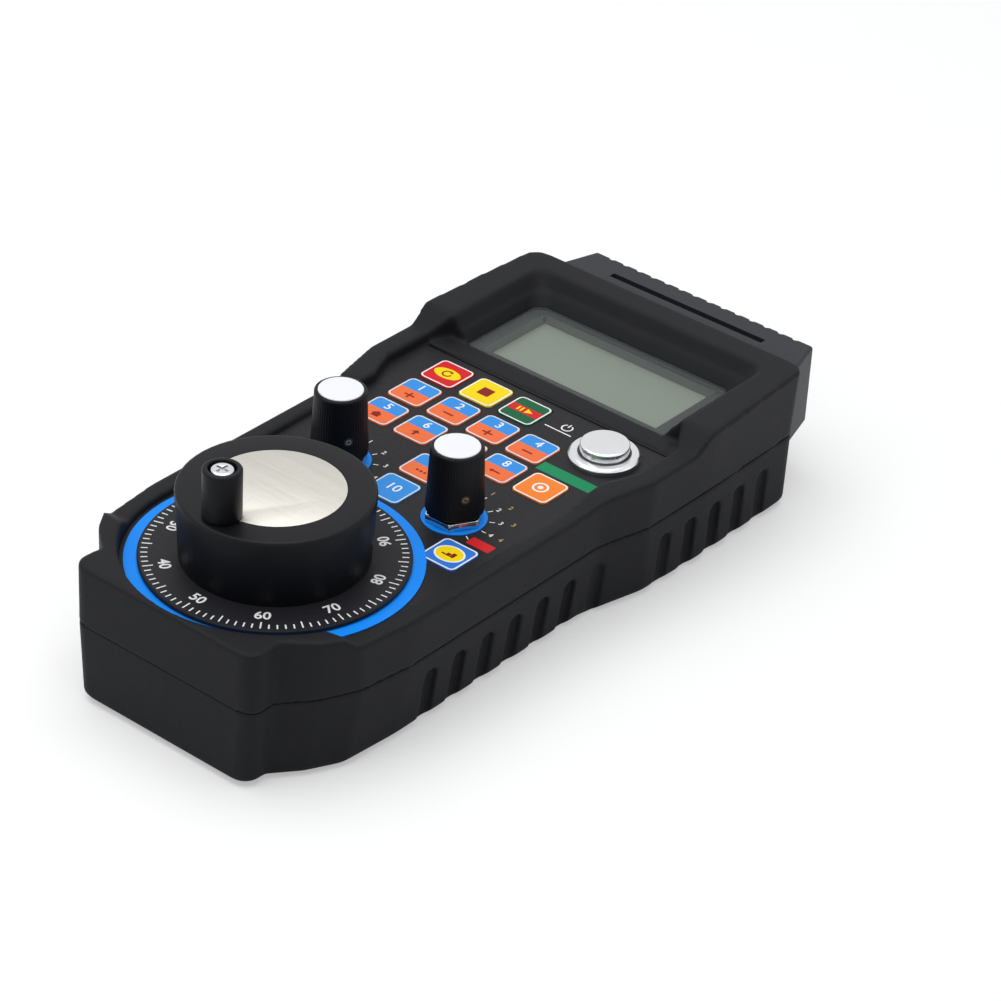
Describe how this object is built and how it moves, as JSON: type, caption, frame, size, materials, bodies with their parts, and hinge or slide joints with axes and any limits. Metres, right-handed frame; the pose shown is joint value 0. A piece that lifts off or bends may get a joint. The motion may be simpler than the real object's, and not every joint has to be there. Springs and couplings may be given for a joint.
{
  "type": "pulse generator handwheel",
  "caption": "Hand-held control pendant with a graduated pulse handwheel, two selector knobs, membrane keys, a display and a metal push button.",
  "frame": {"origin": "middle of the flat back face, below the centre of the bounding box", "axes": "+X to the user's right, +Y from the handwheel to the display, +Z out of the panel"},
  "size_m": [0.1016, 0.22, 0.071],
  "materials": {
    "shell": "fine matte texture",
    "end_block": "satin",
    "film": "smooth printed film",
    "window": "clear",
    "lcd": "grey-green display",
    "blue": "bright blue print",
    "dial": "matte with white graduations",
    "knob": "matte",
    "steel": "satin",
    "chrome": "polished",
    "silver": "satin",
    "brass": "machined",
    "white_cap": "smooth",
    "dark_plastic": "moulded",
    "board": "solder mask",
    "cell": "plain wrapper",
    "key_red": "printed",
    "key_yellow": "printed",
    "key_green": "printed",
    "key_orange": "printed",
    "key_blue": "printed",
    "key_step": "printed",
    "key_macro": "printed"
  },
  "bodies": {
    "root": {"front_housing": "shell", "rear_housing": "shell", "end_cap_lower": "end_block", "end_cap_upper": "end_block", "panel_overlay": "film", "lcd_window": "window", "lcd_module": "lcd", "dial_ring": "blue", "encoder_body": "dark_plastic", "encoder_screws": "chrome", "selector_switches": "dark_plastic", "selector_nuts": "chrome", "selector_rings": "blue", "power_bezel": "silver", "power_barrel": "silver", "power_nut": "silver", "power_spring": "steel", "keypad_board": "board", "dome_switches": "steel", "main_circuit_board": "board", "radio_module": "steel", "antenna": "dark_plastic", "aa_cells": "cell", "battery_contacts": "steel", "case_screws": "steel"},
    "handwheel": {"handwheel_knob": "knob", "dial_disc": "dial", "knob_plate": "steel", "grip_screw": "chrome", "encoder_shaft": "steel"},
    "crank": {"crank_grip": "knob"},
    "axis_selector": {"axis_knob": "knob", "axis_knob_cap": "white_cap", "axis_set_screw": "brass", "axis_shaft": "steel"},
    "feed_selector": {"feed_knob": "knob", "feed_knob_cap": "white_cap", "feed_set_screw": "brass", "feed_shaft": "steel"},
    "power_button": {"power_cap": "silver"},
    "bay_door": {"battery_door": "shell"},
    "key_reset_body": {"key_reset": "key_red"},
    "key_stop_body": {"key_stop": "key_yellow"},
    "key_start_body": {"key_start": "key_green"},
    "key_macro_1_body": {"key_macro_1": "key_macro"},
    "key_macro_2_body": {"key_macro_2": "key_macro"},
    "key_macro_3_body": {"key_macro_3": "key_macro"},
    "key_macro_4_body": {"key_macro_4": "key_macro"},
    "key_macro_5_body": {"key_macro_5": "key_macro"},
    "key_macro_6_body": {"key_macro_6": "key_macro"},
    "key_macro_7_body": {"key_macro_7": "key_macro"},
    "key_macro_8_body": {"key_macro_8": "key_macro"},
    "key_function_body": {"key_function": "key_orange"},
    "key_macro_9_body": {"key_macro_9": "key_macro"},
    "key_macro_10_body": {"key_macro_10": "key_blue"},
    "key_step_body": {"key_step": "key_step"},
    "key_continuous_body": {"key_continuous": "key_step"}
  },
  "joints": [
    {"name": "handwheel_spin", "type": "hinge", "parent": "root", "child": "handwheel", "pos_m": [0, -0.0686, 0.0376], "axis": [0, 0, 1], "continuous": true},
    {"name": "grip_spin", "type": "hinge", "parent": "handwheel", "child": "crank", "pos_m": [-0.0008, -0.0874, 0.064], "axis": [0, 0, 1], "continuous": true},
    {"name": "axis_select", "type": "hinge", "parent": "root", "child": "axis_selector", "pos_m": [-0.02, -0.0224, 0.045], "axis": [0, 0, 1], "range_deg": [-180, 0]},
    {"name": "feed_select", "type": "hinge", "parent": "root", "child": "feed_selector", "pos_m": [0.02, -0.0224, 0.045], "axis": [0, 0, 1], "range_deg": [-180, 0]},
    {"name": "power_press", "type": "slide", "parent": "root", "child": "power_button", "axis": [0, 0, -1], "range_m": [0, 0.0015], "stiffness_N_per_m": 1500, "springref_m": -0.0005, "deforming": ["power_spring"]},
    {"name": "battery_door_hinge", "type": "hinge", "parent": "root", "child": "bay_door", "pos_m": [0, 0.0713, 0.0002], "axis": [1, 0, 0], "range_deg": [0, 75]},
    {"name": "key_reset_press", "type": "slide", "parent": "root", "child": "key_reset_body", "axis": [0, 0, -1], "range_m": [0, 0.0003], "stiffness_N_per_m": 3000},
    {"name": "key_stop_press", "type": "slide", "parent": "root", "child": "key_stop_body", "axis": [0, 0, -1], "range_m": [0, 0.0003], "stiffness_N_per_m": 3000},
    {"name": "key_start_press", "type": "slide", "parent": "root", "child": "key_start_body", "axis": [0, 0, -1], "range_m": [0, 0.0003], "stiffness_N_per_m": 3000},
    {"name": "key_macro_1_press", "type": "slide", "parent": "root", "child": "key_macro_1_body", "axis": [0, 0, -1], "range_m": [0, 0.0003], "stiffness_N_per_m": 3000},
    {"name": "key_macro_2_press", "type": "slide", "parent": "root", "child": "key_macro_2_body", "axis": [0, 0, -1], "range_m": [0, 0.0003], "stiffness_N_per_m": 3000},
    {"name": "key_macro_3_press", "type": "slide", "parent": "root", "child": "key_macro_3_body", "axis": [0, 0, -1], "range_m": [0, 0.0003], "stiffness_N_per_m": 3000},
    {"name": "key_macro_4_press", "type": "slide", "parent": "root", "child": "key_macro_4_body", "axis": [0, 0, -1], "range_m": [0, 0.0003], "stiffness_N_per_m": 3000},
    {"name": "key_macro_5_press", "type": "slide", "parent": "root", "child": "key_macro_5_body", "axis": [0, 0, -1], "range_m": [0, 0.0003], "stiffness_N_per_m": 3000},
    {"name": "key_macro_6_press", "type": "slide", "parent": "root", "child": "key_macro_6_body", "axis": [0, 0, -1], "range_m": [0, 0.0003], "stiffness_N_per_m": 3000},
    {"name": "key_macro_7_press", "type": "slide", "parent": "root", "child": "key_macro_7_body", "axis": [0, 0, -1], "range_m": [0, 0.0003], "stiffness_N_per_m": 3000},
    {"name": "key_macro_8_press", "type": "slide", "parent": "root", "child": "key_macro_8_body", "axis": [0, 0, -1], "range_m": [0, 0.0003], "stiffness_N_per_m": 3000},
    {"name": "key_function_press", "type": "slide", "parent": "root", "child": "key_function_body", "axis": [0, 0, -1], "range_m": [0, 0.0003], "stiffness_N_per_m": 3000},
    {"name": "key_macro_9_press", "type": "slide", "parent": "root", "child": "key_macro_9_body", "axis": [0, 0, -1], "range_m": [0, 0.0003], "stiffness_N_per_m": 3000},
    {"name": "key_macro_10_press", "type": "slide", "parent": "root", "child": "key_macro_10_body", "axis": [0, 0, -1], "range_m": [0, 0.0003], "stiffness_N_per_m": 3000},
    {"name": "key_step_press", "type": "slide", "parent": "root", "child": "key_step_body", "axis": [0, 0, -1], "range_m": [0, 0.0003], "stiffness_N_per_m": 3000},
    {"name": "key_continuous_press", "type": "slide", "parent": "root", "child": "key_continuous_body", "axis": [0, 0, -1], "range_m": [0, 0.0003], "stiffness_N_per_m": 3000}
  ]
}
